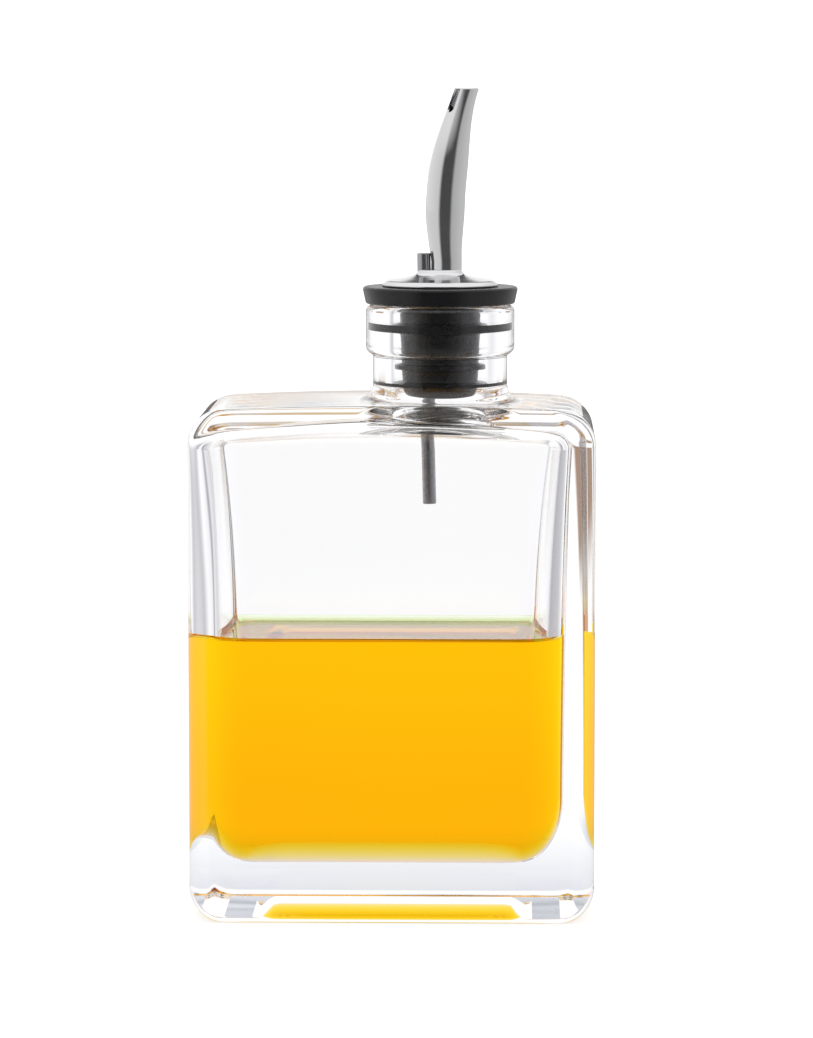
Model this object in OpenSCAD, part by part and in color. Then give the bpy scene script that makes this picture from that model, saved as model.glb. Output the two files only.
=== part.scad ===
// Rectangular glass oil bottle with a push-in metal pourer.
// Origin: centre of the footprint, on the surface the bottle stands on. +Z up, front face towards -Y.

/* [Bottle] */
// Width of the bottle body, left to right
bottle_w = 78; // [70:1:90]
// Depth of the bottle body, front to back
bottle_d = 45; // [42:1:56]
// Height of the shoulder at its outer edges
shoulder_z = 98.3; // [90:0.1:104]
// Rise of the shoulder from its outer edges to the middle
crown = 1.2; // [0.8:0.1:2]
// Radius of the vertical edges
edge_r = 5; // [4:0.5:7]
// Radius of the body's corners as seen from the front
outline_r = 6.5; // [4:0.5:8]
// Radius of the top edges as seen from the side
rim_r = 3.5; // [2:0.5:5]
// Radius of the bottom edges as seen from the side
rim_low_r = 1.5; // [1:0.25:3]
// Depth of the arch pushed up into the base
push_up = 2.4; // [1:0.2:4]

/* [Hollow] */
// Thickness of the front and back walls
wall_front = 4.2; // [3:0.1:5.5]
// Thickness of the left wall, far from the neck, where the blown glass is thinnest
wall_left = 2.3; // [2:0.1:4]
// Thickness of the right wall at the floor
wall_right_low = 6; // [4:0.1:7]
// Thickness of the right wall at the shoulder
wall_right_high = 4.7; // [3:0.1:5]
// Height of the floor inside the bottle
floor_z = 11; // [8:0.5:14]
// Thickness of the glass at the shoulder's outer edges
shoulder_t = 4.3; // [3:0.1:6]
// Radius of the hollow's vertical edges
hollow_edge_r = 8; // [6:0.5:10]
// Radius of the hollow's lower corners
floor_r = 7; // [5:0.5:10]
// Radius of the hollow's upper corners
ceiling_r = 3; // [2:0.5:4]
// Height of the oil's surface
oil_z = 53.8; // [30:0.1:70]

/* [Neck] */
// Distance of the neck's axis to the right of the body's middle
neck_x = 9; // [0:0.5:14]
// Height of the neck's lip
lip_z = 117.7; // [114:0.1:120]
// Radius of the neck's bore
bore_r = 9.25; // [9:0.05:9.6]
// Outer radius of the finish ring
ring_r = 14.4; // [13.8:0.1:15]
// Height of the finish ring
ring_h = 9.6; // [8:0.1:11]
// Outer radius of the neck under the ring
neck_r = 13; // [12:0.1:13.5]

/* [Stopper] */
// Outer radius of the flange
flange_r = 15; // [14.5:0.1:16]
// Thickness of the flange
flange_t = 3.3; // [2:0.1:3.5]
// Stem radius under the flange
stem_r_top = 7.9; // [7.5:0.1:8.2]
// Stem radius at its lower end
stem_r_low = 7.1; // [6.8:0.1:7.5]
// Length of the stem under the flange
stem_l = 20.4; // [17:0.1:22]
// Gap between the sealing fins and the bore
fin_gap = 0.05; // [0.03:0.01:0.08]
// Gap between the stopper's bore and the flow tube
swivel_gap = 0.05; // [0.03:0.01:0.08]

/* [Pourer] */
// Outer radius of the flow tube
flow_r = 5; // [4.8:0.1:5.2]
// Wall of the metal tubes
tube_t = 0.4; // [0.3:0.05:0.5]
// Outer radius of the collar
collar_r = 11.3; // [10.5:0.1:12.5]
// Height of the collar from its edge to the top of its boss
collar_h = 3.3; // [3:0.1:4.2]
// Outer radius of the spout at its foot
foot_r = 2.95; // [2.8:0.05:2.95]
// Largest outer radius of the spout
belly_r = 3.75; // [3.5:0.05:4]
// Outer radius of the spout at its tip
tip_r = 2.35; // [2.1:0.05:2.6]
// Height of the spout's tip above the base
tip_z = 159.4; // [154:0.1:166]
// Outer radius of the breather tube
breather_r = 1.3; // [1.1:0.05:1.35]
// Height of the breather tube's open upper end
breather_top_z = 127.6; // [126:0.1:129]
// Height of the breather tube's lower end
breather_low_z = 79; // [72:1:90]

/* [Hidden] */

$fn = 64;
over = 1;                                    // how far a cut runs past the face it opens

// bottle
crown_z = shoulder_z + crown;
crown_r = (pow(bottle_w / 2, 2) + crown * crown) / (2 * crown);
push_up_w = 54;                              // footprint of the pushed-up arch
push_up_d = 27;
push_up_slope = 4;                           // run of the slopes at the arch's ends
neck_flare_r = 3;                            // fillet between the neck and the shoulder
lip_r = 1.2;                                 // rounding of the neck's lip
bead_r = 1.6;                                // rounding under the finish ring
neck_root_z = shoulder_z - shoulder_t / 2;

// hollow
hollow_left = -bottle_w / 2 + wall_left;
hollow_right_low = bottle_w / 2 - wall_right_low;
hollow_right_high = bottle_w / 2 - wall_right_high;
hollow_w = hollow_right_high - hollow_left;
hollow_x = (hollow_left + hollow_right_high) / 2;
hollow_d = bottle_d - 2 * wall_front;
ceiling_z = shoulder_z - shoulder_t;
ceiling_rise = 2;                            // the ceiling is arched up towards the neck
ceiling_arch_r = (pow(hollow_w / 2, 2) + ceiling_rise * ceiling_rise) / (2 * ceiling_rise);
throat_h = 3;                                // flare where the bore opens into the hollow
throat_r = bore_r + 2;
oil_gap = 0.02;                              // keeps the oil's skin clear of the glass

// stopper
fin_r = bore_r - fin_gap;
inner_fin_r = fin_r - 0.4;
// each fin's depth under the flange, thickness and radius
fins = [[4.6, 1.9, fin_r], [9.4, 1.1, inner_fin_r], [12.1, 0.9, inner_fin_r], [15.6, 1.0, fin_r]];
flange_z = lip_z + 0.2;                      // the flange rests just clear of the lip
flange_taper = 0.5;
stopper_low_z = flange_z - stem_l;
collar_z = flange_z + flange_t;

// pourer
spout_x = 1.2;                               // spout's foot, right of the neck's axis
breather_x = -3.2;                           // breather's upper end, left of the neck's axis
breather_lean = 1.4;                         // degrees
breather_rise = breather_top_z - collar_z - collar_h;
solder_gap = 0.02;                           // film of solder round the tubes in the collar
boss_r = 4.3;
boss_h = 1.1;
boss_slope = 0.5;
collar_t = 0.7;
collar_edge = 0.5;                           // height of the collar's upright edge
collar_bevel = 0.8;                          // slope between that edge and the cone
flow_rise = 1.35;                            // the flow tube ends under the collar's cone
spout_low_z = collar_z + collar_h - 2.2;     // the foot is sunk in the collar
spout_h = tip_z - spout_low_z;
tip_shift = [3.9, 2.5];                      // how far the tip is bent, right and back
bow = 2.7;                                   // four times how far the middle leans left of that bend
bow_from = 0.1;                              // no lean below this fraction of the height
tip_lean = 14;                               // degrees
notch_w = 2;                                 // notch in the tip, opposite the bend
notch_h = 5.5;
spout_rings = 28;
spout_sides = 32;

// ---------- shared outlines ----------

// Rounded rectangle with true arcs, centred on x, from y = low to y = high.
module rounded_slab(half_w, low, high, r_low, r_high) {
    translate([-half_w, low + r_low]) square([2 * half_w, high - low - r_low - r_high]);
    translate([-half_w + r_low, low]) square([2 * (half_w - r_low), high - low - r_high]);
    translate([-half_w + r_high, low + r_low]) square([2 * (half_w - r_high), high - low - r_low]);
    for (side = [-1, 1]) {
        translate([side * (half_w - r_low), low + r_low]) circle(r_low);
        translate([side * (half_w - r_high), high - r_high]) circle(r_high);
    }
}

module plan_prism(w, d, r, height) {
    linear_extrude(height) rounded_slab(w / 2, -d / 2, d / 2, r, r);
}

// Extrudes an outline drawn in X and Z through the whole depth.
module along_y(depth) {
    translate([0, depth / 2, 0]) rotate([90, 0, 0]) linear_extrude(depth) children();
}

// Extrudes an outline drawn in Y and Z through the whole width.
module along_x(width) {
    translate([-width / 2, 0, 0]) rotate([90, 0, 90]) linear_extrude(width) children();
}

// ---------- bottle ----------

module body_front_outline() {
    intersection() {
        rounded_slab(bottle_w / 2, 0, crown_z, outline_r, outline_r);
        translate([0, crown_z - crown_r]) circle(crown_r, $fn = 256);
    }
}

module body_blank() {
    intersection() {
        along_y(bottle_d) body_front_outline();
        plan_prism(bottle_w, bottle_d, edge_r, crown_z);
        along_x(bottle_w) rounded_slab(bottle_d / 2, 0, crown_z, rim_low_r, rim_r);
    }
}

module neck_half_profile() {
    difference() {
        translate([0, neck_root_z]) square([neck_r + neck_flare_r, crown_z - neck_root_z + neck_flare_r]);
        translate([neck_r + neck_flare_r, crown_z + neck_flare_r]) circle(neck_flare_r);
    }
    translate([0, crown_z]) square([neck_r, lip_z - crown_z - lip_r]);
    translate([0, lip_z - ring_h + bead_r]) square([ring_r, ring_h - bead_r - lip_r]);
    translate([0, lip_z - ring_h]) square([ring_r - bead_r, ring_h]);
    translate([ring_r - bead_r, lip_z - ring_h + bead_r]) circle(bead_r);
    translate([ring_r - lip_r, lip_z - lip_r]) circle(lip_r);
    translate([0, lip_z - ring_h]) square([ring_r - lip_r, ring_h]);
}

// The hollow's front view: an upright left wall and a leaning right one, under an arched ceiling.
module hollow_front_outline(inset, top) {
    low = floor_z + inset;
    left = hollow_left + inset;
    right_low = hollow_right_low - inset;
    right_high = hollow_right_high - inset;
    arch_top = ceiling_z + ceiling_rise;
    intersection() {
        union() {
            translate([left + floor_r, low]) square([right_low - left - 2 * floor_r, floor_r]);
            polygon([
                [left, low + floor_r], [right_low, low + floor_r],
                [right_high, ceiling_z - ceiling_r], [left, ceiling_z - ceiling_r]
            ]);
            for (x = [left + floor_r, right_low - floor_r]) translate([x, low + floor_r]) circle(floor_r);
            for (x = [left + ceiling_r, right_high - ceiling_r])
                translate([x, ceiling_z - ceiling_r]) circle(ceiling_r);
            translate([left + ceiling_r, ceiling_z - ceiling_r])
                square([right_high - left - 2 * ceiling_r, ceiling_r + ceiling_rise]);
        }
        translate([hollow_x, arch_top - ceiling_arch_r]) circle(ceiling_arch_r, $fn = 256);
        translate([-bottle_w / 2, 0]) square([bottle_w, top]);
    }
}

module hollow(inset, top) {
    intersection() {
        along_y(hollow_d - 2 * inset) hollow_front_outline(inset, top);
        translate([hollow_x, 0, 0]) plan_prism(hollow_w, hollow_d - 2 * inset, hollow_edge_r - inset, top);
        along_x(bottle_w) rounded_slab(hollow_d / 2 - inset, floor_z + inset, crown_z, floor_r, ceiling_r);
    }
}

// The arch pushed up into the base: part of a cylinder with sloping ends.
module base_arch() {
    arch_r = (pow(push_up_d / 2, 2) + push_up * push_up) / (2 * push_up);
    half = push_up_w / 2;
    intersection() {
        translate([-half, 0, push_up - arch_r]) rotate([0, 90, 0])
            cylinder(h = push_up_w, r = arch_r, $fn = 256);
        along_y(bottle_d) polygon([
            [-half, -over], [half, -over], [half, 0], [half - push_up_slope, push_up],
            [push_up_slope - half, push_up], [-half, 0]
        ]);
    }
}

module glass_bottle() {
    color("aliceblue", 0.4)
    difference() {
        union() {
            body_blank();
            translate([neck_x, 0, 0]) rotate_extrude() neck_half_profile();
        }
        hollow(0, crown_z);
        translate([neck_x, 0, ceiling_z - over]) cylinder(h = lip_z - ceiling_z + 2 * over, r = bore_r);
        translate([neck_x, 0, ceiling_z]) cylinder(h = throat_h, r1 = throat_r, r2 = bore_r);
        base_arch();
    }
}

module oil_fill() {
    color("orange", 0.8) hollow(oil_gap, oil_z);
}

// ---------- stopper ----------

module fin(depth, thickness, r) {
    edge_t = thickness * 0.7;
    translate([0, flange_z - depth - thickness / 2]) polygon([
        [flow_r + swivel_gap, 0], [r, (thickness - edge_t) / 2],
        [r, (thickness + edge_t) / 2], [flow_r + swivel_gap, thickness]
    ]);
}

module rubber_stopper() {
    bore = flow_r + swivel_gap;
    color("dimgray")
    translate([neck_x, 0, 0]) rotate_extrude() {
        polygon([
            [bore, flange_z], [flange_r - flange_taper, flange_z],
            [flange_r, collar_z], [bore, collar_z]
        ]);
        polygon([
            [bore, stopper_low_z], [stem_r_low, stopper_low_z],
            [stem_r_top, flange_z], [bore, flange_z]
        ]);
        for (f = fins) fin(f[0], f[1], f[2]);
    }
}

// ---------- pourer ----------

// Half profile of a bevelled shallow cone that carries a raised boss, solid down to its foot.
module dome_half_profile(edge, boss, edge_top, cone_top, boss_top) {
    polygon([
        [0, collar_z - over], [edge, collar_z - over], [edge, edge_top],
        [edge - collar_bevel, edge_top + collar_bevel],
        [boss + boss_slope, cone_top], [boss, boss_top], [0, boss_top]
    ]);
}

module collar() {
    cone_top = collar_z + collar_h - boss_h;
    color("silver")
    translate([neck_x, 0, 0]) difference() {
        rotate_extrude() intersection() {
            dome_half_profile(collar_r, boss_r, collar_z + collar_edge, cone_top, collar_z + collar_h);
            translate([0, collar_z]) square([collar_r, collar_h]);
        }
        rotate_extrude() dome_half_profile(
            collar_r - collar_t, boss_r - collar_t, collar_z + collar_edge / 3,
            cone_top - collar_t, collar_z + collar_h - collar_t
        );
        translate([spout_x, 0, collar_z]) cylinder(h = collar_h + over, r = foot_r + solder_gap);
        breather_place() translate([0, 0, -collar_h - breather_rise])
            cylinder(h = collar_h + breather_rise, r = breather_r + solder_gap);
    }
}

module flow_tube() {
    height = collar_z + flow_rise - stopper_low_z;
    color("silver")
    translate([neck_x, 0, stopper_low_z]) difference() {
        cylinder(h = height, r = flow_r);
        translate([0, 0, -over]) cylinder(h = height + 2 * over, r = flow_r - tube_t);
    }
}

// The spout's outer radius at the fraction t of its height: narrow foot, full belly, slim tip.
function eased(t) = t * t * (3 - 2 * t);
function between(t, start, end) = min(max((t - start) / (end - start), 0), 1);
function spout_r(t) = foot_r
    + (belly_r - foot_r) * eased(between(t, 0.08, 0.38))
    + (tip_r - belly_r) * eased(between(t, 0.55, 1));

// The spout's middle at the fraction t of its height: upright at the foot, bent towards the tip.
function spout_centre(t) = [
    spout_x + tip_shift[0] * pow(t, 2.5) - bow * between(t, bow_from, 1) * (1 - between(t, bow_from, 1)),
    tip_shift[1] * pow(t, 2.5),
    spout_low_z + t * spout_h
];

function ring(centre, r) = [
    for (k = [0 : spout_sides - 1])
        centre + r * [cos(360 * k / spout_sides), sin(360 * k / spout_sides), 0]
];

// Quads that join ring a to ring b, seen from the side that b's turn makes the outside.
function skin(a, b) = [
    for (k = [0 : spout_sides - 1])
        let (next = (k + 1) % spout_sides)
        [a * spout_sides + k, b * spout_sides + k, b * spout_sides + next, a * spout_sides + next]
];

module spout_tube() {
    count = spout_rings + 1;
    outer = [for (i = [0 : spout_rings]) ring(spout_centre(i / spout_rings), spout_r(i / spout_rings))];
    inner = [
        for (i = [0 : spout_rings]) ring(spout_centre(i / spout_rings), spout_r(i / spout_rings) - tube_t)
    ];
    outer_skin = [for (i = [0 : spout_rings - 1]) each skin(i, i + 1)];
    inner_skin = [for (i = [0 : spout_rings - 1]) each skin(count + i + 1, count + i)];
    polyhedron(
        points = [for (r = outer) each r, for (r = inner) each r],
        faces = concat(outer_skin, inner_skin, skin(count, 0), skin(spout_rings, count + spout_rings))
    );
}

module pour_spout() {
    tip = spout_centre(1);
    color("silver")
    translate([neck_x, 0, 0]) difference() {
        spout_tube();
        translate(tip) rotate([0, 0, atan2(tip_shift[1], tip_shift[0])]) rotate([0, tip_lean, 0]) {
            translate([-2 * tip_r, 0, notch_w / 2 - notch_h]) rotate([0, 90, 0])
                cylinder(h = 2 * tip_r, r = notch_w / 2, $fn = 24);
            translate([-2 * tip_r, -notch_w / 2, notch_w / 2 - notch_h])
                cube([2 * tip_r, notch_w, notch_h + over]);
        }
    }
}

// The breather's own frame: its upper end's middle, leaning back towards the neck's axis below.
module breather_place() {
    translate([breather_x, 0, breather_top_z]) rotate([0, -breather_lean, 0]) children();
}

module breather_tube() {
    length = (breather_top_z - breather_low_z) / cos(breather_lean);
    color("silver")
    translate([neck_x, 0, 0]) breather_place() translate([0, 0, -length]) difference() {
        cylinder(h = length, r = breather_r);
        translate([0, 0, -over]) cylinder(h = length + 2 * over, r = breather_r - tube_t);
    }
}

glass_bottle();
oil_fill();
rubber_stopper();
collar();
flow_tube();
pour_spout();
breather_tube();
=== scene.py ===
"""Looks of the rectangular glass oil bottle and its pourer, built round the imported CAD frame.
Units are metres."""

import math

import bmesh
import bpy
from mathutils import Matrix, Vector


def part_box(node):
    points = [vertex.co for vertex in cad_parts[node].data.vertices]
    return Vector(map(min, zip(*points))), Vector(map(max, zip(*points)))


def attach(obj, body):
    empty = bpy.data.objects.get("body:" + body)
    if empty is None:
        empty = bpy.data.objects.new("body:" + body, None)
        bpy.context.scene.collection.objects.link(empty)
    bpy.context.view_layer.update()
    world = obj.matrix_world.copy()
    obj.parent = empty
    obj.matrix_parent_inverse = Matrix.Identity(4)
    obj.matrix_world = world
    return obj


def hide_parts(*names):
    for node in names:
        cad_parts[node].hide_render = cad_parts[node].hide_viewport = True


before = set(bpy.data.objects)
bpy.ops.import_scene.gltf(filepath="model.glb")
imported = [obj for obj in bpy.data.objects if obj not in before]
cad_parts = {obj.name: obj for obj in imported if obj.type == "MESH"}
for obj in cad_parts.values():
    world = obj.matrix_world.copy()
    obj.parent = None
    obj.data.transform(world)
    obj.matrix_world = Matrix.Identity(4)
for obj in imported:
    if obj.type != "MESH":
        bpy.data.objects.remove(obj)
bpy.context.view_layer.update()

scene = bpy.context.scene
MM = 0.001


# ---------- sizes, from the frame and a few more of the glass's own ----------

glass_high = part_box("glass_bottle")[1]
oil_low, oil_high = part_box("oil_fill")
rubber_low, rubber_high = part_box("rubber_stopper")
collar_low, collar_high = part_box("collar")
flow_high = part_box("flow_tube")[1]
spout_low, spout_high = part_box("pour_spout")
breather_low, breather_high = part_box("breather_tube")

half_w = glass_high.x
half_d = glass_high.y
lip_z = glass_high.z
neck_x = (rubber_low.x + rubber_high.x) / 2

EDGE_R = 5 * MM                 # vertical edges of the body
OUTLINE_R = 6.5 * MM            # body corners seen from the front
RIM_R = 3.5 * MM                # top edges seen from the side
RIM_LOW_R = 1.5 * MM            # bottom edges seen from the side
PULLED_EDGE_R = 2 * MM          # vertical edges where a rounding has pulled them right in
SHOULDER_Z = 98.3 * MM
CROWN = 1.2 * MM                # the shoulder's rise to the middle
CROWN_R = (half_w ** 2 + CROWN ** 2) / (2 * CROWN)
NECK_R = 13 * MM
NECK_FLARE_R = 3 * MM
RING_R = 14.4 * MM
RING_H = 9.6 * MM
RING_FILLET = 0.5 * MM          # under the ring, where it meets the neck
LIP_R = 1.2 * MM                # outer edge of the lip
MOUTH_R = 0.8 * MM              # and its inner edge
BEAD_R = 1.6 * MM
BORE_R = 9.25 * MM
PUSH_UP = 2.4 * MM
PUSH_UP_HALF_W = 27 * MM
PUSH_UP_HALF_D = 13.5 * MM
PUSH_UP_SLOPE = 4 * MM

WALL_LEFT = 2.3 * MM            # the blown glass is thinnest far from the neck
WALL_RIGHT_LOW = 6 * MM
WALL_RIGHT_HIGH = 4.7 * MM
HOLLOW_EDGE_LOW_R = 9.5 * MM    # vertical edges of the hollow, from here down
HOLLOW_EDGE_LOW_Z = 50 * MM
HOLLOW_EDGE_HIGH_R = 5 * MM     # and at the ceiling
hollow_half_d = oil_high.y
floor_z = oil_low.z
oil_z = oil_high.z
FLOOR_R = 12 * MM               # height and width of the lower corners at the sides
FLOOR_PULL = 8 * MM
FLOOR_R_D = 4.5 * MM            # and at the front and back
FLOOR_PULL_D = 3.5 * MM
FLOOR_EDGE_R = 4 * MM           # corners of the floor seen from above
FLOOR_CROWN = 1.9 * MM
CEILING_Z = 94 * MM
CEILING_RISE = 2 * MM
CEILING_R = 3 * MM              # its rounding, and its corners seen from above
THROAT_H = 3 * MM
THROAT_BLEND = 1.5 * MM         # where the bore begins to open into the throat
THROAT_R = BORE_R + 2 * MM
MENISCUS = 1 * MM               # how far the oil climbs the glass
CORNER_CLIMB = 0.6 * MM
MENISCUS_FADE = 0.9 * MM        # how fast the climb dies away from the glass
MENISCUS_WIDTH = 4.5 * MM
WETTED = 1.5 * MM               # the even part of the wet wall ends this far below the oil's level
DRY = 4 * MM                    # and the even part of the dry wall this far above it
OIL_GAP = 0.04 * MM             # keeps the oil's skin off the glass

TIP_SHIFT = Vector((3.9, 2.5)) * MM     # how far the spout's tip is bent, right and back
SPOUT_BOW = 2.7 * MM            # four times how far the spout's middle leans left of its bend

GLASS_IOR = 1.5
OIL_IOR = 1.47
OIL_COLOUR = (0.9985, 0.9225, 0.0)   # what is left of each colour's share after absorption
OIL_DENSITY = 230
OIL_LOW_PAINTED_SHADE = (1.0, 0.87, 1.0)     # painted shade: the oil's lower part tinted deeper orange
OIL_GRAZING_PAINTED_LIGHT = (0.55, 1.0, 0.1)  # painted light: a greenish tint where its surface is seen along it

BACKDROP = 1.11                 # brightness of the white sweep
# What the glass and the metal show round them, which is not what the camera sees there: (degrees from
# the front, with the left negative, and a grey level or a colour). It stays where it is in the world.
WHITE = (1.0, 1.0, 1.0)
PALE_BROWN = (0.36, 0.24, 0.17)
BROWN = (0.24, 0.14, 0.09)
ROOM_STOPS = (
    (-180, 1), (-150, (0.95, 0.95, 0.96)), (-122, (0.9, 0.9, 0.92)), (-117, (0.66, 0.66, 0.69)),
    (-109, (0.4, 0.4, 0.43)), (-103, (0.97, 0.97, 1)), (-99, (0.8, 0.8, 0.83)),
    (-94, (0.28, 0.28, 0.31)), (-88, (0.6, 0.6, 0.63)), (-60, (0.5, 0.48, 0.46)), (-15, 0.06),
    (15, 0.06), (60, (0.5, 0.5, 0.53)), (92, (0.4, 0.4, 0.43)), (104, (0.95, 0.95, 0.97)),
    (125, (0.75, 0.75, 0.78)), (150, (0.97, 0.97, 1)), (180, 1),
)
BOARD_STOPS = (
    (-180, 1), (-178, 1), (-175, PALE_BROWN), (-145, PALE_BROWN), (-140, 0.95),
    (-122, (0.9, 0.9, 0.92)), (-117, (0.66, 0.66, 0.69)), (-109, (0.4, 0.4, 0.43)),
    (-103, (0.97, 0.97, 1)), (-99, (0.8, 0.8, 0.83)), (-94, (0.25, 0.25, 0.28)), (-88, 0.6),
    (-83, BROWN), (-38, BROWN), (-12, 0.05), (15, 0.05), (45, (0.3, 0.3, 0.31)),
    (80, (0.6, 0.6, 0.62)), (120, (0.8, 0.8, 0.82)), (146, 0.95), (157, (0.58, 0.58, 0.6)),
    (166, 1),
)
TABLE_STOPS = (
    (-180, 1), (-150, 0.95), (-122, (0.9, 0.9, 0.93)), (-112, (0.5, 0.5, 0.53)),
    (-106, (0.95, 0.95, 0.97)), (-97, (0.85, 0.85, 0.88)), (-92, (0.35, 0.35, 0.38)),
    (-86, (0.8, 0.8, 0.83)), (-60, (0.4, 0.38, 0.37)), (-10, 0.25), (10, 0.25),
    (70, (0.42, 0.42, 0.45)), (120, (0.55, 0.55, 0.58)), (150, (0.95, 0.95, 0.97)), (180, 1),
)
CLEAR_STOPS = (
    (-180, 1), (-150, (0.97, 0.97, 1)), (-120, (0.88, 0.88, 0.9)), (-110, (0.62, 0.62, 0.65)),
    (-102, (0.95, 0.95, 0.97)), (-88, (0.8, 0.8, 0.82)), (-60, (0.95, 0.95, 0.97)), (0, 1),
    (60, (0.95, 0.95, 0.97)), (88, (0.8, 0.8, 0.82)), (102, (0.95, 0.95, 0.97)),
    (110, (0.62, 0.62, 0.65)), (120, (0.88, 0.88, 0.9)), (150, (0.97, 0.97, 1)), (180, 1),
)
SHINE_LOW_STOPS = (
    (-180, 0.12), (-168, 0.15), (-152, 0.8), (-44, 0.68), (-28, 0.07), (28, 0.07), (44, 0.48),
    (110, 0.6), (152, 0.6), (168, 0.15), (180, 0.12),
)
SHINE_STOPS = (
    (-180, 0.9), (-100, 0.8), (-44, 0.68), (-28, 0.07), (28, 0.07), (44, 0.48), (110, 0.6),
    (180, 0.9),
)
PANEL_WIDTH = 20                # degrees: half the width of a dark panel hung behind, seen in the metal
PANEL_COLOUR = (0.1, 0.1, 0.1)
PANEL_STOPS = ((0.26, 0), (0.34, 1), (0.6, 1), (0.7, 0))        # height of the direction, share of dark
TABLE_REACH = (420 * MM, 620 * MM)      # where the table gives way to the brown boards
BOARD_REACH = (1200 * MM, 1500 * MM)    # and the boards to the room
TABLE_GLOW = 0.68                       # the light table, where the camera sees it
SHADE_COLOUR = (0.69, 0.72, 0.76)       # and under the object, where the glass shows it
SHADE_REACH = 115 * MM
OVERHEAD_STOPS = ((0.35, 0), (0.7, 1))      # height of the direction, share of white

ARC_STEPS = 20                  # points round one vertical edge
LONG_STEPS = 32                 # points along the front or the back
SHORT_STEPS = 20                # points along a side
RING_COUNT = 4 * ARC_STEPS + 2 * LONG_STEPS + 2 * SHORT_STEPS


# ---------- camera ----------

def make_camera():
    """A long lens from a little right of the front and a little above, looking slightly down."""
    azimuth = math.radians(1.5)
    distance = 900 * MM
    height = 170 * MM
    aim = Vector((2.46, 0, 75.8)) * MM
    data = bpy.data.cameras.new("camera")
    camera = bpy.data.objects.new("camera", data)
    scene.collection.objects.link(camera)
    camera.location = Vector((distance * math.sin(azimuth), -distance * math.cos(azimuth), height))
    camera.rotation_euler = (aim - camera.location).to_track_quat("-Z", "Y").to_euler()
    data.sensor_width = 36
    data.lens = 161
    data.clip_end = 100
    scene.camera = camera


# ---------- mesh helpers ----------

def loft(name, rings, closed_ends=True, slot_of_band=None):
    """A smooth skin through rings of equally many points; each end is closed by a fan to its middle."""
    mesh = bpy.data.meshes.new(name)
    bm = bmesh.new()
    count = len(rings[0])
    rows = [[bm.verts.new(p) for p in ring] for ring in rings]
    for band, (a, b) in enumerate(zip(rows, rows[1:])):
        for k in range(count):
            n = (k + 1) % count
            face = bm.faces.new((a[k], a[n], b[n], b[k]))
            if slot_of_band:
                face.material_index = slot_of_band(band)
    if closed_ends:
        for row, order in ((rows[0], -1), (rows[-1], 1)):
            middle = bm.verts.new(sum((v.co for v in row), Vector()) / count)
            for k in range(count):
                pair = (row[k], row[(k + 1) % count])[::order]
                face = bm.faces.new((pair[0], pair[1], middle))
                if slot_of_band:
                    face.material_index = slot_of_band(0 if order < 0 else len(rings) - 2)
    bmesh.ops.recalc_face_normals(bm, faces=bm.faces)
    for face in bm.faces:
        face.smooth = True
    bm.to_mesh(mesh)
    bm.free()
    piece = bpy.data.objects.new(name, mesh)
    scene.collection.objects.link(piece)
    return piece


def lathe(name, profile, centre_x, steps=128):
    """A closed profile of (radius, height) points turned about a vertical axis."""
    mesh = bpy.data.meshes.new(name)
    bm = bmesh.new()
    rows = []
    for k in range(steps):
        turn = 2 * math.pi * k / steps
        rows.append([
            bm.verts.new((centre_x + r * math.cos(turn), r * math.sin(turn), z)) for r, z in profile
        ])
    for a, b in zip(rows, rows[1:] + rows[:1]):
        for k in range(len(profile)):
            n = (k + 1) % len(profile)
            bm.faces.new((a[k], b[k], b[n], a[n]))
    bmesh.ops.recalc_face_normals(bm, faces=bm.faces)
    for face in bm.faces:
        face.smooth = True
    bm.to_mesh(mesh)
    bm.free()
    piece = bpy.data.objects.new(name, mesh)
    scene.collection.objects.link(piece)
    return piece


def arc(centre, radius, start, end, steps):
    """Points (r, z) along an arc; angles in degrees, 0 along +r and 90 along +z."""
    points = []
    for k in range(steps + 1):
        a = math.radians(start + (end - start) * k / steps)
        points.append((centre[0] + radius * math.cos(a), centre[1] + radius * math.sin(a)))
    return points


def lerp(a, b, t):
    return a + (b - a) * t


def eased(t):
    t = min(max(t, 0), 1)
    return t * t * (3 - 2 * t)


def straight(a, b, steps):
    """Points from a up to b, closer together near both ends."""
    return [lerp(a, b, (1 - math.cos(math.pi * k / steps)) / 2) for k in range(steps)]


def outline(hw, hd, r):
    """Points (x, y) round a rectangle with rounded corners, from the front left corner, anticlockwise."""
    r = min(r, hw, hd)
    corners = [(-hw + r, -hd + r, 180), (hw - r, -hd + r, 270), (hw - r, hd - r, 0), (-hw + r, hd - r, 90)]
    points = []
    for i, (x, y, start) in enumerate(corners):
        for k in range(ARC_STEPS):
            a = math.radians(start + 90 * k / ARC_STEPS)
            points.append(Vector((x + r * math.cos(a), y + r * math.sin(a))))
        a = math.radians(start + 90)
        here = Vector((x + r * math.cos(a), y + r * math.sin(a)))
        nx, ny, n_start = corners[(i + 1) % 4]
        b = math.radians(n_start)
        there = Vector((nx + r * math.cos(b), ny + r * math.sin(b)))
        points += straight(here, there, LONG_STEPS if i % 2 == 0 else SHORT_STEPS)
    return points


def circle_outline(r):
    """As many points round the neck's axis, spaced evenly, matched with the outline's own."""
    first = 180 + 45 - 360 * ARC_STEPS / RING_COUNT / 2
    turn = [math.radians(first + 360 * k / RING_COUNT) for k in range(RING_COUNT)]
    return [Vector((neck_x + r * math.cos(a), r * math.sin(a))) for a in turn]


def flat_ring(points, z):
    return [Vector((p.x, p.y, z)) for p in points]


# ---------- the bottle's surfaces ----------

def crown_z(x):
    """Height of the arched shoulder at x."""
    return SHOULDER_Z + CROWN - (CROWN_R - math.sqrt(CROWN_R ** 2 - x * x))


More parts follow.
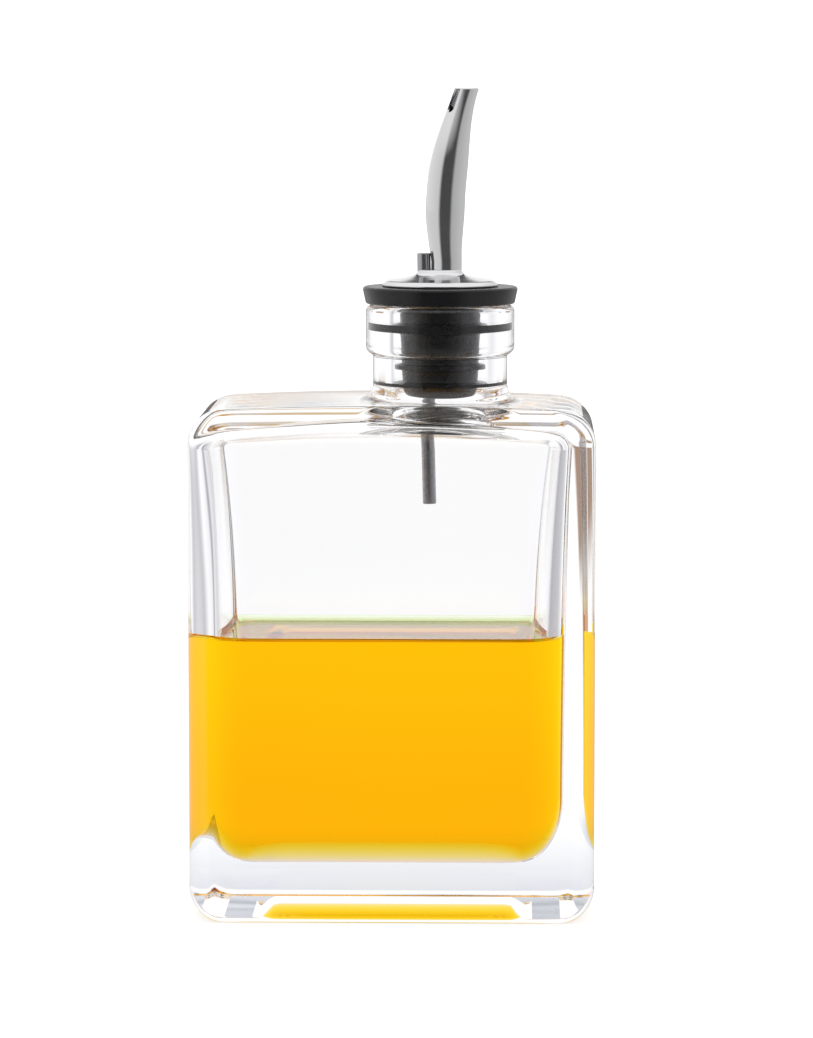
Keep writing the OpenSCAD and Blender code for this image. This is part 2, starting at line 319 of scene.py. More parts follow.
def arch_z(x, y):
    """Height of the underside: arched front to back, with short slopes at its ends."""
    v = min(abs(y) / PUSH_UP_HALF_D, 1)
    end = min(max(PUSH_UP_HALF_W - abs(x), 0) / PUSH_UP_SLOPE, 1)
    return PUSH_UP * (1 - v * v) * eased(end)


def underside_rings():
    """From the middle of the base out to the start of the base's rounding."""
    rim_w = half_w - OUTLINE_R
    rim_d = half_d - RIM_LOW_R
    rings = []
    for share in [0.02] + [k / 24 for k in range(1, 25)]:
        points = outline(rim_w * share, rim_d * share, PULLED_EDGE_R * share)
        rings.append([Vector((p.x, p.y, arch_z(p.x, p.y))) for p in points])
    return rings


def rounding(t):
    """How far a rounding has pulled in from the wall, and is still clear of the flat, as shares of it."""
    a = math.radians(90 * t)
    return 1 - math.cos(a), 1 - math.sin(a)


def rounded_outline(rim_r, inset):
    """The body's outline where its roundings have pulled it in by a share of their radii."""
    edge_r = lerp(EDGE_R, PULLED_EDGE_R, inset)
    return outline(half_w - OUTLINE_R * inset, half_d - rim_r * inset, edge_r)


def wall_rings():
    """From the base's rounding up the outside to the end of the shoulder's."""
    rings = []
    steps = 16
    for k in range(steps + 1):
        inset, drop = rounding(1 - k / steps)
        points = rounded_outline(RIM_LOW_R, inset)
        rings.append([Vector((p.x, p.y, edge_height(p, RIM_LOW_R) * drop)) for p in points])
    z_low, z_high = OUTLINE_R, SHOULDER_Z - OUTLINE_R
    for z in straight(z_low, z_high, 40)[1:]:
        rings.append(flat_ring(outline(half_w, half_d, EDGE_R), z))
    for k in range(steps + 1):
        inset, drop = rounding(k / steps)
        points = rounded_outline(RIM_R, inset)
        rings.append([Vector((p.x, p.y, crown_z(p.x) - edge_height(p, RIM_R) * drop)) for p in points])
    return rings


def edge_height(p, rim_r):
    """Height of the rounding at p: the outline's on the sides, the rim's on the front and back."""
    return lerp(rim_r, OUTLINE_R, side_share(p, half_w, OUTLINE_R + EDGE_R, half_d, rim_r + EDGE_R))


def side_share(p, hw, reach_w, hd, reach_d):
    """How much of a rounding at p belongs to the sides, and not to the front or back, from 0 to 1."""
    side = min(max((abs(p.x) - (hw - reach_w)) / reach_w, 0), 1)
    front = min(max((abs(p.y) - (hd - reach_d)) / reach_d, 0), 1)
    return side ** 4 / (side ** 4 + front ** 4 + 1e-9)


def shoulder_rings(start):
    """Across the shoulder from its outer outline to the foot of the neck's flare."""
    flare_r = NECK_R + NECK_FLARE_R
    target = circle_outline(flare_r)
    rings = []
    for k in range(1, 25):
        t = 1 - (1 - k / 24) ** 1.3
        ring = [lerp(Vector((a.x, a.y)), b, t) for a, b in zip(start, target)]
        rings.append([Vector((p.x, p.y, crown_z(p.x))) for p in ring])
    return rings


def neck_rings():
    """Up the outside of the neck, over the lip and down the bore."""
    foot = SHOULDER_Z + CROWN
    rings = []
    for k in range(1, 13):
        out, rise = rounding(k / 12)[::-1]
        sway = 1 - k / 12
        rings.append([
            Vector((p.x, p.y, foot + NECK_FLARE_R * rise + sway * (crown_z(p.x) - foot)))
            for p in circle_outline(NECK_R + NECK_FLARE_R * out)
        ])
    bead_z = lip_z - RING_H
    fillet_z = bead_z - RING_FILLET
    bead_top = bead_z + BEAD_R
    mouth_z = lip_z - MOUTH_R
    bore_low = CEILING_Z + THROAT_H + THROAT_BLEND
    profile = [(NECK_R, z) for z in straight(foot + NECK_FLARE_R, fillet_z, 8)[1:]]
    profile += arc((NECK_R + RING_FILLET, fillet_z), RING_FILLET, 180, 90, 5)
    profile += arc((RING_R - BEAD_R, bead_top), BEAD_R, -90, 0, 12)
    profile += [(RING_R, z) for z in straight(bead_top, lip_z - LIP_R, 10)[1:]]
    profile += arc((RING_R - LIP_R, lip_z - LIP_R), LIP_R, 0, 90, 10)
    profile += arc((BORE_R + MOUTH_R, mouth_z), MOUTH_R, 90, 180, 8)
    profile += [(BORE_R, z) for z in straight(mouth_z, bore_low, 16)[1:]]
    return rings + [flat_ring(circle_outline(r), z) for r, z in profile]


def hollow_sides(z):
    """The hollow's left and right walls at a height: the right one leans out towards the shoulder."""
    t = min(max((z - floor_z) / (CEILING_Z - floor_z), 0), 1)
    return -half_w + WALL_LEFT, half_w - lerp(WALL_RIGHT_LOW, WALL_RIGHT_HIGH, t * t)


def hollow_edge_r(z):
    """Radius of the hollow's vertical edges at a height."""
    t = min(max((z - HOLLOW_EDGE_LOW_Z) / (CEILING_Z - HOLLOW_EDGE_LOW_Z), 0), 1)
    return lerp(HOLLOW_EDGE_LOW_R, HOLLOW_EDGE_HIGH_R, t * t)


def hollow_ring(z, inset=0, pull_w=0, pull_d=0, edge_r=None):
    """Points (x, y) round the hollow at a height, set in by an inset and pulled in further."""
    left, right = hollow_sides(z)
    middle = Vector(((left + right) / 2, 0))
    hw = (right - left) / 2 - inset - pull_w
    hd = hollow_half_d - inset - pull_d
    r = hollow_edge_r(z) - inset if edge_r is None else edge_r
    return [middle + p for p in outline(hw, hd, r)]


ceiling_left, ceiling_right = hollow_sides(CEILING_Z)
ceiling_x = (ceiling_left + ceiling_right) / 2
ceiling_half_w = (ceiling_right - ceiling_left) / 2


def ceiling_z(x):
    """Height of the hollow's arched ceiling at x."""
    t = min(abs(x - ceiling_x) / ceiling_half_w, 1)
    return CEILING_Z + CEILING_RISE * (1 - t * t)


def throat_rings():
    """From the bore out under the shoulder to the top of the hollow's walls."""
    rings = []
    flare_z = CEILING_Z + THROAT_H
    for k in range(9):
        t = k / 8
        r = lerp(BORE_R, THROAT_R, eased(t))
        z = lerp(flare_z + THROAT_BLEND, ceiling_z(neck_x) + 0.2 * MM, t)
        rings.append(flat_ring(circle_outline(r), z))
    start = circle_outline(THROAT_R)
    edge = hollow_ring(CEILING_Z, 0, CEILING_R, CEILING_R, CEILING_R)
    for k in range(1, 21):
        t = (k / 20) ** 1.3
        ring = [lerp(a, b, t) for a, b in zip(start, edge)]
        rings.append([Vector((p.x, p.y, ceiling_z(p.x))) for p in ring])
    return rings


def ceiling_rings():
    """Round the ceiling's edge and down to the top of the walls."""
    rings = []
    z = CEILING_Z - CEILING_R
    for k in range(1, 11):
        pull, drop = rounding(1 - k / 10)
        edge_r = lerp(hollow_edge_r(z), CEILING_R, pull)
        points = hollow_ring(z, 0, CEILING_R * pull, CEILING_R * pull, edge_r)
        rings.append([Vector((p.x, p.y, lerp(z, ceiling_z(p.x), 1 - drop))) for p in points])
    return rings


def floor_rings(inset):
    """From the walls round the lower corners and in over the slightly domed floor."""
    rings = []
    z_top = floor_z + FLOOR_R
    edge_r = hollow_edge_r(z_top)
    left, right = hollow_sides(z_top)
    middle = (left + right) / 2
    hw = (right - left) / 2
    for k in range(17):
        pull, drop = rounding(k / 16)
        corner_r = lerp(edge_r, FLOOR_EDGE_R, pull)
        ring = []
        for p in hollow_ring(z_top, inset, FLOOR_PULL * pull, FLOOR_PULL_D * pull, corner_r):
            share = side_share(
                Vector((p.x - middle, p.y)), hw, FLOOR_PULL + edge_r, hollow_half_d, FLOOR_PULL_D + edge_r
            )
            ring.append(Vector((p.x, p.y, floor_z + inset + lerp(FLOOR_R_D, FLOOR_R, share) * drop)))
        rings.append(ring)
    hw -= FLOOR_PULL + inset
    hd = hollow_half_d - FLOOR_PULL_D - inset
    for k in range(1, 20):
        share = 1 - k / 19.5
        ring = []
        for p in outline(hw * share, hd * share, FLOOR_EDGE_R * share):
            rise = FLOOR_CROWN * (1 - (p.x / hw) ** 8) * (1 - (p.y / hd) ** 2)
            ring.append(Vector((middle + p.x, p.y, floor_z + inset + rise)))
        rings.append(ring)
    return rings


def contact_ring(inset):
    """Where the oil meets the glass: a little above its level, and higher in the corners."""
    z = oil_z + MENISCUS
    ring = []
    for p in hollow_ring(z, inset):
        side = min(abs(p.x - ceiling_x) / ceiling_half_w, 1)
        ring.append(Vector((p.x, p.y, z + CORNER_CLIMB * side ** 12)))
    return ring


def make_bottle():
    """The glass as one closed skin: underside, walls, shoulder, neck, bore and hollow."""
    rings = underside_rings()
    rings += wall_rings()[1:]
    rings += shoulder_rings(rings[-1])
    rings += neck_rings()
    rings += throat_rings()[1:]
    rings += ceiling_rings()
    z_top, z_low = CEILING_Z - CEILING_R, floor_z + FLOOR_R
    dry_low, wet_top = oil_z + DRY, oil_z - WETTED
    dry = [flat_ring(hollow_ring(z), z) for z in straight(z_top, dry_low, 30)[1:] + [dry_low]]
    wet_from = len(rings) + len(dry)
    wet = [contact_ring(0)] + [flat_ring(hollow_ring(z), z) for z in straight(wet_top, z_low, 30)]
    rings += dry + wet + floor_rings(0)
    return loft("bottle_glass", rings, slot_of_band=lambda band: 1 if band >= wet_from else 0)


def make_oil():
    """The oil: the hollow's own shape a hair inside the glass, with a surface that climbs the walls.
    The faces that meet the air are marked, because only there the light bends."""
    z_low = floor_z + FLOOR_R
    rings = floor_rings(OIL_GAP)[::-1]
    rings += [flat_ring(hollow_ring(z, OIL_GAP), z) for z in straight(z_low, oil_z - WETTED, 30)[1:]]
    edge = contact_ring(OIL_GAP)
    skin_bands = len(rings)
    rings.append(edge)
    for k in range(1, 17):
        pull = MENISCUS_WIDTH * (k / 16) ** 1.5
        fall = math.exp(-pull / MENISCUS_FADE)
        r = max(hollow_edge_r(oil_z) - pull, 3 * MM)
        points = hollow_ring(oil_z + MENISCUS, OIL_GAP, pull, pull, r)
        rings.append([Vector((p.x, p.y, lerp(oil_z, e.z, fall))) for p, e in zip(points, edge)])
    rim = rings[-1]
    middle = Vector((sum(p.x for p in rim) / len(rim), 0, oil_z))
    for k in range(1, 14):
        share = 1 - k / 13.5
        rings.append([Vector((lerp(middle.x, p.x, share), p.y * share, oil_z)) for p in rim])
    piece = loft("oil_liquid", rings, slot_of_band=lambda band: 1 if band >= skin_bands else 0)
    free = piece.data.attributes.new("free_surface", "FLOAT", "FACE")
    for face, mark in zip(piece.data.polygons, free.data):
        mark.value = face.material_index
        face.material_index = 0
    return piece


# ---------- stopper and pourer ----------

def make_stopper():
    """The black rubber moulding: flange, tapering stem and sealing fins, every edge rounded."""
    bore = flow_high.x - neck_x + 0.05 * MM
    flange_r = rubber_high.x - neck_x
    flange_top = rubber_high.z
    flange_low = collar_low.z - 3.3 * MM    # the flange's own thickness, under the collar
    low = rubber_low.z
    stem_top_r, stem_low_r = 7.9 * MM, 7.1 * MM
    grip_r = BORE_R + 0.03 * MM     # a fin pressed on the bore
    soft_r = BORE_R - 0.45 * MM     # and one that stays clear of it
    rim_flat = 2.2 * MM             # flat ring of the flange's top, outside the collar
    top_edge_r, low_edge_r = 0.5 * MM, 0.45 * MM
    draft = 12                      # degrees that the flange's side leans in,
    low_inset = 0.95 * MM           # which sets its lower edge this far in
    fillet = 0.8 * MM
    root_w, root_h = 0.3 * MM, 0.35 * MM
    foot_r = 0.6 * MM
    tip_share, flat_share = 0.08, 0.42      # of a fin's thickness: its tip's edges and half its flat
    fins = [                        # depth under the flange, thickness, radius
        (4.6 * MM, 1.9 * MM, grip_r), (9.4 * MM, 1.1 * MM, soft_r),
        (12.1 * MM, 0.9 * MM, soft_r), (15.6 * MM, 1.0 * MM, grip_r),
    ]

    def stem_r(z):
        return lerp(stem_low_r, stem_top_r, (z - low) / (flange_low - low))

    profile = [(bore, flange_top), (flange_r - rim_flat, flange_top)]
    profile += arc((flange_r - top_edge_r, flange_top - top_edge_r), top_edge_r, 90, -draft, 8)
    profile += arc((flange_r - low_inset, flange_low + low_edge_r), low_edge_r, -draft, -90, 6)
    profile.append((stem_top_r + fillet, flange_low))
    profile += arc((stem_top_r + fillet, flange_low - fillet), fillet, 90, 180, 6)
    for depth, thick, r in fins:
        z = flange_low - depth
        root = stem_r(z)
        half = thick / 2
        tip = thick * tip_share
        flat = thick * flat_share - tip
        profile += [(root, z + half + root_h), (root + root_w, z + half)]
        profile += arc((r - tip, z + flat), tip, 90, 0, 4)
        profile += arc((r - tip, z - flat), tip, 0, -90, 4)
        profile += [(root + root_w, z - half), (root, z - half - root_h)]
    profile += arc((stem_low_r - foot_r, low + foot_r), foot_r, 0, -90, 6)
    profile.append((bore, low))
    return lathe("stopper_rubber_moulding", profile, neck_x)


def make_collar():
    """A thin pressed plate: rolled edge, shallow cone and a rounded boss round the two tubes."""
    edge_r = collar_high.x - neck_x
    base = collar_low.z
    top = collar_high.z
    boss_r = 4.3 * MM
    cone_top = top - 1.1 * MM
    sheet = 0.7 * MM
    bend_r = edge_r - 1.3 * MM
    bend_z = base + 1.2 * MM
    roll_r, bend_round, boss_round = 0.35 * MM, 0.9 * MM, 0.6 * MM
    hub = 0.4 * MM
    foot_z = base + 0.15 * MM
    cone_r, cone_z = lerp(bend_r, boss_r, 0.5), lerp(bend_z, cone_top, 0.42)    # halfway up the cone
    profile = [(edge_r - roll_r, base)]
    profile += arc((edge_r - roll_r, base + roll_r), roll_r, -90, 30, 6)
    profile += arc((bend_r, bend_z - bend_round), bend_round, 35, 82, 6)
    profile += [
        (cone_r, cone_z), (boss_r + 1.2 * MM, cone_top - 0.15 * MM),
        (boss_r + 0.7 * MM, cone_top), (boss_r + 0.35 * MM, cone_top + 0.3 * MM),
    ]
    profile += arc((boss_r - 0.55 * MM, top - boss_round), boss_round, 10, 90, 8)
    profile += [
        (hub, top), (hub, top - sheet), (boss_r - 0.9 * MM, top - sheet),
        (boss_r - 0.4 * MM, cone_top - sheet * 0.6), (cone_r, cone_z - sheet * 0.8),
        (bend_r - 0.3 * MM, bend_z - sheet), (edge_r - sheet, foot_z), (edge_r - sheet, base),
    ]
    return lathe("collar_plate", profile, neck_x, steps=160)


def spout_section(t):
    """The spout's middle and outer radius at the fraction t of its height."""
    foot_r, belly_r, tip_r = 2.95 * MM, 3.75 * MM, 2.35 * MM
    foot_x = neck_x + 1.2 * MM
    swell_from, swell_to = 0.08, 0.38
    taper_from = 0.55
    bow_from = 0.1
    swell = (belly_r - foot_r) * eased((t - swell_from) / (swell_to - swell_from))
    taper = (tip_r - belly_r) * eased((t - taper_from) / (1 - taper_from))
    bend = t ** 2.5
    free = max(t - bow_from, 0) / (1 - bow_from)
    bow = SPOUT_BOW * free * (1 - free)
    z = lerp(spout_low.z, spout_high.z, t)
    return Vector((foot_x + TIP_SHIFT.x * bend - bow, TIP_SHIFT.y * bend, z)), foot_r + swell + taper


def make_spout():
    """The bent tapered tube, with a rolled rim and a notch in the tip opposite the bend."""
    wall = 0.4 * MM
    count = 96
    rim_steps = 8
    height = spout_high.z - spout_low.z

    def ring(t, r_change, lift=0):
        centre, r = spout_section(t)
        r += r_change
        turns = [2 * math.pi * k / count for k in range(count)]
        return [centre + Vector((r * math.cos(a), r * math.sin(a), lift)) for a in turns]

    fractions = [k / 90 for k in range(91)]
    rim = wall / 2
    last = 1 - rim / height
    outer = [ring(t * last, 0) for t in fractions]
    rolled = [ring(last, r, z) for r, z in arc((-rim, 0), rim, 0, 180, rim_steps)[1:-1]]
    inner = [ring(t * last, -wall) for t in fractions[::-1]]
    rings = outer + rolled + inner
    piece = loft("spout_shell", rings + rings[:1], closed_ends=False)
    merge_doubles(piece)
    cut_notch(piece)
    return piece


def merge_doubles(piece):
    """Joins the first ring and its copy, so that the skin is closed."""
    bm = bmesh.new()
    bm.from_mesh(piece.data)
    bmesh.ops.remove_doubles(bm, verts=bm.verts, dist=1e-7)
    bmesh.ops.recalc_face_normals(bm, faces=bm.faces)
    bm.to_mesh(piece.data)
    bm.free()


def cut_notch(piece):
    """Cuts a round-ended slot down from the rim, on the side away from the bend."""
    tip, tip_r = spout_section(1)
    notch_r = 1.0 * MM
    depth = 5.5 * MM
    lean = math.radians(14)
    bend_turn = math.atan2(TIP_SHIFT.y, TIP_SHIFT.x)
    mesh = bpy.data.meshes.new("notch_cutter")
    bm = bmesh.new()
    over = 3 * MM                   # how far the cutter stands above the rim
    section = arc((0, notch_r - depth), notch_r, 180, 360, 24) + [(notch_r, over), (-notch_r, over)]
    near = [bm.verts.new((-3 * tip_r, y, z)) for y, z in section]
    far = [bm.verts.new((-0.2 * tip_r, y, z)) for y, z in section]
    bm.faces.new(near)
    bm.faces.new(far[::-1])
    for k in range(len(section)):
        n = (k + 1) % len(section)
        bm.faces.new((near[k], far[k], far[n], near[n]))
    bmesh.ops.recalc_face_normals(bm, faces=bm.faces)
    bm.to_mesh(mesh)
    bm.free()
    cutter = bpy.data.objects.new("notch_cutter", mesh)
    cutter.matrix_world = (
        Matrix.Translation(tip) @ Matrix.Rotation(bend_turn, 4, "Z") @ Matrix.Rotation(lean, 4, "Y")
    )
    scene.collection.objects.link(cutter)
    cut = piece.modifiers.new("notch", "BOOLEAN")
    cut.operation = "DIFFERENCE"
    cut.solver = "EXACT"
    cut.object = cutter
    apply_modifiers(piece)
    bpy.data.objects.remove(cutter)


def apply_modifiers(piece):
    """Keeps the shape that the modifiers give, and drops them."""
    bpy.context.view_layer.update()
    graph = bpy.context.evaluated_depsgraph_get()
    mesh = bpy.data.meshes.new_from_object(piece.evaluated_get(graph))
    piece.modifiers.clear()
    piece.data = mesh


def make_breather():
    """The vent tube: a thin drawn tube with square-cut rounded ends."""
    r, wall, rim = 1.3 * MM, 0.4 * MM, 0.12 * MM
    lean = math.radians(1.4)
    left_of_neck = 3.2 * MM
    tilt = r * math.sin(lean)       # how far the leaning ends reach past their middles
    top_z = breather_high.z - tilt
    top = Vector((neck_x - left_of_neck, 0, top_z))
    length = (top_z - breather_low.z - tilt) / math.cos(lean)
    profile = arc((r - rim, -rim), rim, 90, 0, 4)
    profile += [(r, -length * k / 24) for k in range(1, 24)]
    profile += arc((r - rim, -length + rim), rim, 0, -90, 4)
    profile += arc((r - wall + rim, -length + rim), rim, -90, -180, 4)
    profile += [(r - wall, -length * (1 - k / 24)) for k in range(1, 24)]
    profile += arc((r - wall + rim, -rim), rim, 180, 90, 4)
    piece = lathe("breather_pipe", profile, 0, steps=48)
    piece.data.transform(Matrix.Translation(top) @ Matrix.Rotation(-lean, 4, "Y"))
    return piece


# ---------- materials ----------

def new_material(name):
    """A node material, with its tree and its shader."""
    material = bpy.data.materials.new(name)
    material.use_nodes = True
    tree = material.node_tree
    return material, tree, tree.nodes["Principled BSDF"]


def add_bump(tree, shader, scale, strength, distance, detail=3):
    """Fine unevenness from a noise in the object's own space."""
    place = tree.nodes.new("ShaderNodeTexCoord")
    noise = tree.nodes.new("ShaderNodeTexNoise")
    noise.inputs["Scale"].default_value = scale
    noise.inputs["Detail"].default_value = detail
    bump = tree.nodes.new("ShaderNodeBump")
    bump.inputs["Strength"].default_value = strength
    bump.inputs["Distance"].default_value = distance
    tree.links.new(place.outputs["Object"], noise.inputs["Vector"])
    tree.links.new(noise.outputs["Fac"], bump.inputs["Height"])
    tree.links.new(bump.outputs["Normal"], shader.inputs["Normal"])
    return noise


def add_range(tree, source, low, high, target):
    """Maps a noise's 0.3 to 0.7 onto low to high and links it to the socket."""
    remap = tree.nodes.new("ShaderNodeMapRange")
    remap.inputs["From Min"].default_value = 0.3
    remap.inputs["From Max"].default_value = 0.7
    remap.inputs["To Min"].default_value = low
    remap.inputs["To Max"].default_value = high
    tree.links.new(source, remap.inputs["Value"])
    tree.links.new(remap.outputs["Result"], target)


def clear_material(name, ior, bump_scale, bump_strength):
    """A clear body: polished, with the faint waviness of moulded glass or a liquid's skin."""
    material, tree, shader = new_material(name)
    shader.inputs["Base Color"].default_value = (1, 1, 1, 1)
    shader.inputs["Roughness"].default_value = 0
    shader.inputs["IOR"].default_value = ior
    shader.inputs["Transmission Weight"].default_value = 1
    add_bump(tree, shader, bump_scale, bump_strength, distance=0.05 * MM, detail=1)
    return material, tree, shader


def oil_material():
    """Golden oil, coloured by how much of it light passes, with painted shade towards its bottom and a
    painted greenish light where its surface is seen along it, and bending light only at its free surface.
    """
    material, tree, shader = clear_material("golden_oil", OIL_IOR, bump_scale=60, bump_strength=0.02)
    mark = tree.nodes.new("ShaderNodeAttribute")
    mark.attribute_name = "free_surface"
    ior = tree.nodes.new("ShaderNodeMapRange")
    ior.inputs["To Min"].default_value = 1
    ior.inputs["To Max"].default_value = OIL_IOR
    tree.links.new(mark.outputs["Fac"], ior.inputs["Value"])
    tree.links.new(ior.outputs["Result"], shader.inputs["IOR"])
    # painted light: a greenish tint where the free surface is seen along it, standing in for the olive
    # light at the oil's edge
    facing = tree.nodes.new("ShaderNodeLayerWeight")
    grazing_painted_light = add_math(tree, "MULTIPLY", mark.outputs["Fac"], facing.outputs["Facing"])
    place = tree.nodes.new("ShaderNodeTexCoord")
    split = tree.nodes.new("ShaderNodeSeparateXYZ")
    tree.links.new(place.outputs["Object"], split.inputs["Vector"])
    deep_z = lerp(floor_z, oil_z, 0.2)      # the full painted shade reaches up to here
    # painted shade: the lower oil is tinted deeper orange, standing in for the darker light there
    shallow = add_share(tree, split.outputs["Z"], deep_z, oil_z)
    low_painted_shade = add_mix(tree, shallow, OIL_LOW_PAINTED_SHADE, WHITE)
    tree.links.new(add_mix(tree, grazing_painted_light, low_painted_shade, OIL_GRAZING_PAINTED_LIGHT), shader.inputs["Base Color"])
    volume = tree.nodes.new("ShaderNodeVolumeAbsorption")
    volume.inputs["Color"].default_value = (*OIL_COLOUR, 1)
    volume.inputs["Density"].default_value = OIL_DENSITY
    tree.links.new(volume.outputs["Volume"], tree.nodes["Material Output"].inputs["Volume"])
    return material


def metal_material(name, colour, rough_low, rough_high, grain):
    """Polished or drawn metal with a fine grain in its roughness."""
    material, tree, shader = new_material(name)
    shader.inputs["Base Color"].default_value = (*colour, 1)
    shader.inputs["Metallic"].default_value = 1
    noise = add_bump(tree, shader, grain, strength=0.002, distance=0.01 * MM)
    add_range(tree, noise.outputs["Fac"], rough_low, rough_high, shader.inputs["Roughness"])
    return material


def rubber_material():
    """Satin black rubber, a little uneven."""
    material, tree, shader = new_material("black_rubber")
    shader.inputs["Base Color"].default_value = (0.006, 0.006, 0.007, 1)
    shader.inputs["Specular IOR Level"].default_value = 0.35
    noise = add_bump(tree, shader, scale=600, strength=0.01, distance=0.02 * MM)
    add_range(tree, noise.outputs["Fac"], low=0.24, high=0.32, target=shader.inputs["Roughness"])
    return material


# ---------- shader steps ----------

def add_math(tree, operation, first, second=None):
    """One step of arithmetic on numbers, each given as a value or a socket."""
    node = tree.nodes.new("ShaderNodeMath")
    node.operation = operation
    for socket, value in zip(node.inputs, (first, second)):
        if isinstance(value, (int, float)):
            socket.default_value = value
        elif value is not None:
            tree.links.new(value, socket)
    return node.outputs["Value"]


def add_steps(tree, source, stops):
    """A ramp of stops: a position from 0 to 1, and a grey level or a colour."""
    ramp = tree.nodes.new("ShaderNodeValToRGB")
    while len(ramp.color_ramp.elements) < len(stops):
        ramp.color_ramp.elements.new(0.5)
    for element, (at, shade) in zip(ramp.color_ramp.elements, stops):
        element.position = at
        element.color = (*shade, 1) if isinstance(shade, tuple) else (shade, shade, shade, 1)
    tree.links.new(source, ramp.inputs["Fac"])
    return ramp.outputs["Color"]


def add_share(tree, source, start, end):
    """0 below the start, 1 above the end, and a smooth change between them."""
    remap = tree.nodes.new("ShaderNodeMapRange")
    remap.interpolation_type = "SMOOTHSTEP"
    remap.inputs["From Min"].default_value = start
    remap.inputs["From Max"].default_value = end
    tree.links.new(source, remap.inputs["Value"])
    return remap.outputs["Result"]


MIX_A, MIX_B, MIX_RESULT = 6, 7, 2      # the Mix node's colour sockets


def add_mix(tree, share, first, second):
    """A mix of two colours, each given as a value or a socket."""
    mix = tree.nodes.new("ShaderNodeMix")
    mix.data_type = "RGBA"
    if isinstance(share, (int, float)):
        mix.inputs["Factor"].default_value = share
    else:
        tree.links.new(share, mix.inputs["Factor"])
    for socket, value in zip((mix.inputs[MIX_A], mix.inputs[MIX_B]), (first, second)):
        if isinstance(value, tuple):
            socket.default_value = (*value, 1)
        else:
            tree.links.new(value, socket)
    return mix.outputs[MIX_RESULT]


# ---------- stage ----------

def add_surround(tree, coordinates, path, shine_stops, zones):
    """What is seen round the object: white where it is seen plainly, pale sides straight through the
    glass, the zones' grey and brown sides where the glass also reflects, and a plainer room in the
    metal. A zone is (stops, share of it over the last)."""
    split = tree.nodes.new("ShaderNodeSeparateXYZ")
    tree.links.new(coordinates, split.inputs["Vector"])
    towards_front = add_math(tree, "MULTIPLY", split.outputs["Y"], -1)
    turn = add_math(tree, "ARCTAN2", split.outputs["X"], towards_front)
    place = add_math(tree, "ADD", add_math(tree, "DIVIDE", turn, 2 * math.pi), 0.5)

    def around(stops):
        return add_steps(tree, place, [((at + 180) / 360, shade) for at, shade in stops])

    inside = WHITE
    for stops, share in zones:
        inside = add_mix(tree, share, inside, around(stops))
    in_glass = add_math(tree, "MINIMUM", path.outputs["Transmission Depth"], 1)
    in_shine = add_math(tree, "MINIMUM", path.outputs["Glossy Depth"], 1)
    plain = add_mix(tree, in_shine, WHITE, around(shine_stops))
    through = add_mix(tree, in_shine, around(CLEAR_STOPS), inside)
    return add_mix(tree, in_glass, plain, through)


def make_floor():
    """A pale light table where it is seen plainly. In the glass and the metal it shows the surround's
    sides instead, a little darker under the object."""
    mesh = bpy.data.meshes.new("floor")
    bm = bmesh.new()
    size = 30                       # metres from the middle to each edge
    corners = [bm.verts.new((x * size, y * size, 0)) for x, y in ((-1, -1), (1, -1), (1, 1), (-1, 1))]
    bm.faces.new(corners)
    bm.to_mesh(mesh)
    bm.free()
    floor = bpy.data.objects.new("floor", mesh)
    scene.collection.objects.link(floor)
    material, tree, shader = new_material("light_table")
    shader.inputs["Base Color"].default_value = (0.5, 0.5, 0.5, 1)
    shader.inputs["Roughness"].default_value = 1
    shader.inputs["Specular IOR Level"].default_value = 0
    shader.inputs["Emission Color"].default_value = (1, 1, 1, 1)
    shader.inputs["Emission Strength"].default_value = TABLE_GLOW
    add_bump(tree, shader, scale=300, strength=0.02, distance=0.1 * MM)
    place = tree.nodes.new("ShaderNodeTexCoord")
    path = tree.nodes.new("ShaderNodeLightPath")
    reach = tree.nodes.new("ShaderNodeVectorMath")
    reach.operation = "LENGTH"
    tree.links.new(place.outputs["Object"], reach.inputs[0])
    surround = add_surround(tree, place.outputs["Object"], path, SHINE_LOW_STOPS, (
        (TABLE_STOPS, 1),
        (BOARD_STOPS, add_share(tree, reach.outputs["Value"], *TABLE_REACH)),
        (ROOM_STOPS, add_share(tree, reach.outputs["Value"], *BOARD_REACH)),
    ))
    clear = add_share(tree, reach.outputs["Value"], 0, SHADE_REACH)
    shaded = tree.nodes.new("ShaderNodeMix")
    shaded.data_type = "RGBA"
    shaded.blend_type = "MULTIPLY"
    shaded.inputs["Factor"].default_value = 1
    tree.links.new(surround, shaded.inputs[MIX_A])
    tree.links.new(add_mix(tree, clear, SHADE_COLOUR, WHITE), shaded.inputs[MIX_B])
    glow = tree.nodes.new("ShaderNodeEmission")
    glow.inputs["Strength"].default_value = BACKDROP
    tree.links.new(shaded.outputs[MIX_RESULT], glow.inputs["Color"])
    mix = tree.nodes.new("ShaderNodeMixShader")
    tree.links.new(path.outputs["Is Camera Ray"], mix.inputs[0])
    tree.links.new(glow.outputs["Emission"], mix.inputs[1])
    tree.links.new(shader.outputs["BSDF"], mix.inputs[2])
    tree.links.new(mix.outputs["Shader"], tree.nodes["Material Output"].inputs["Surface"])
    floor.data.materials.append(material)


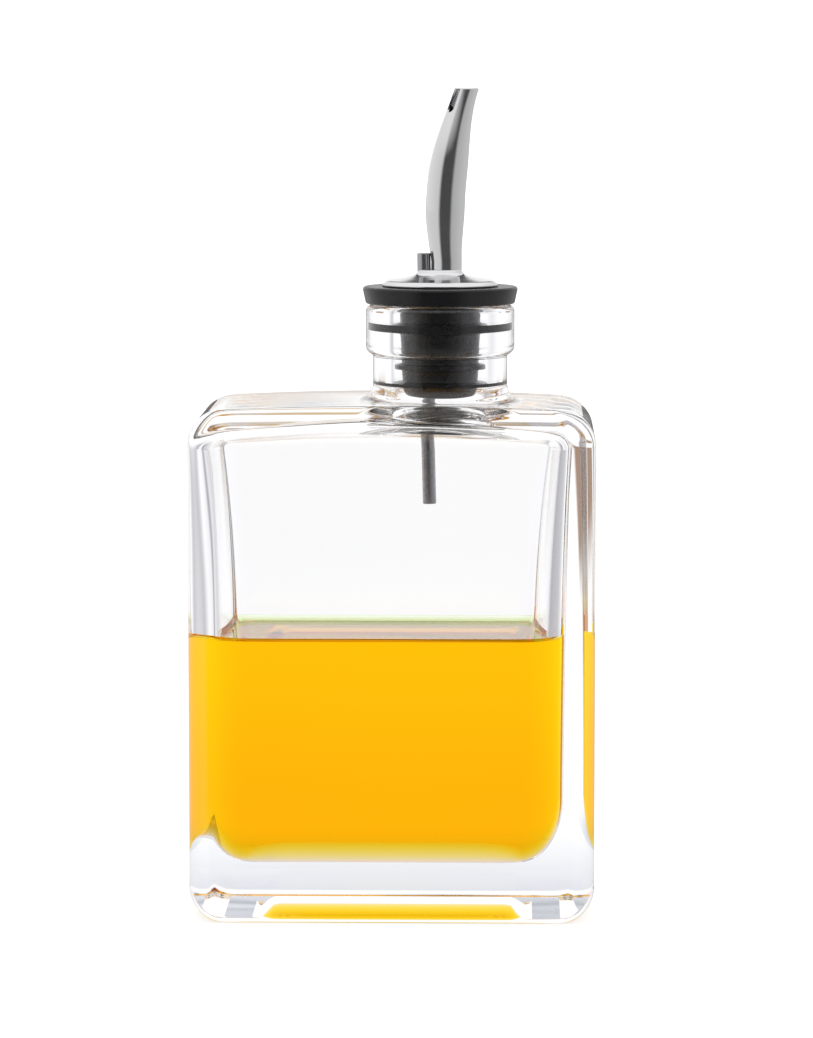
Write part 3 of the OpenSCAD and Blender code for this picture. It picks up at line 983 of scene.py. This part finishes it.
def make_light():
    """The world: plain white where it is seen plainly and overhead. In the glass and the metal it shows
    the surround's sides, and in the metal a dark panel behind as well."""
    world = bpy.data.worlds.new("studio")
    scene.world = world
    world.use_nodes = True
    tree = world.node_tree
    tree.nodes.clear()
    out = tree.nodes.new("ShaderNodeOutputWorld")
    place = tree.nodes.new("ShaderNodeTexCoord")
    path = tree.nodes.new("ShaderNodeLightPath")
    surround = add_surround(tree, place.outputs["Generated"], path, SHINE_STOPS, ((ROOM_STOPS, 1),))
    split = tree.nodes.new("ShaderNodeSeparateXYZ")
    tree.links.new(place.outputs["Generated"], split.inputs["Vector"])
    overhead = add_steps(tree, split.outputs["Z"], OVERHEAD_STOPS)
    panel = add_steps(tree, split.outputs["Z"], PANEL_STOPS)
    white = add_math(tree, "MAXIMUM", overhead, path.outputs["Is Camera Ray"])
    room = add_mix(tree, white, surround, WHITE)
    beside = add_math(tree, "ABSOLUTE", split.outputs["X"])
    aside = add_math(tree, "ARCTAN2", beside, split.outputs["Y"])
    behind = add_math(tree, "LESS_THAN", aside, math.radians(PANEL_WIDTH))
    refracted, glossy = path.outputs["Transmission Depth"], path.outputs["Is Glossy Ray"]
    in_metal = add_math(tree, "LESS_THAN", refracted, glossy)
    dark = add_math(tree, "MULTIPLY", add_math(tree, "MULTIPLY", panel, behind), in_metal)
    sky = tree.nodes.new("ShaderNodeBackground")
    sky.inputs["Strength"].default_value = BACKDROP
    tree.links.new(add_mix(tree, dark, room, PANEL_COLOUR), sky.inputs["Color"])
    tree.links.new(sky.outputs["Background"], out.inputs["Surface"])


# ---------- assembly ----------

make_camera()
make_light()
make_floor()

glass, _, _ = clear_material("clear_glass", GLASS_IOR, bump_scale=90, bump_strength=0.05)
wet_glass, _, _ = clear_material("wet_glass", GLASS_IOR / OIL_IOR, bump_scale=90, bump_strength=0.05)
oil = oil_material()
rubber = rubber_material()
bright_metal = metal_material(
    "polished_steel", (0.72, 0.72, 0.73), rough_low=0.08, rough_high=0.13, grain=500
)
drawn_metal = metal_material(
    "drawn_steel", (0.42, 0.42, 0.43), rough_low=0.25, rough_high=0.28, grain=400
)

PIECES = [
    (make_bottle, "glass_bottle", "bottle", "glass", (glass, wet_glass)),
    (make_oil, "oil_fill", "bottle", "oil", (oil,)),
    (make_stopper, "rubber_stopper", "stopper", "stopper_rubber", (rubber,)),
    (make_collar, "collar", "pourer", "bright_metal", (bright_metal,)),
    (make_spout, "pour_spout", "pourer", "bright_metal", (bright_metal,)),
    (make_breather, "breather_tube", "pourer", "tube_steel", (drawn_metal,)),
]
for make, node, body, slot, materials in PIECES:
    piece = make()
    for material in materials:
        piece.data.materials.append(material)
    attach(piece, body)
    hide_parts(node)

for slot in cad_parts["flow_tube"].material_slots:
    slot.material = drawn_metal

scene.view_settings.view_transform = "Standard"
scene.cycles.max_bounces = 32
scene.cycles.transmission_bounces = 32
scene.cycles.glossy_bounces = 16
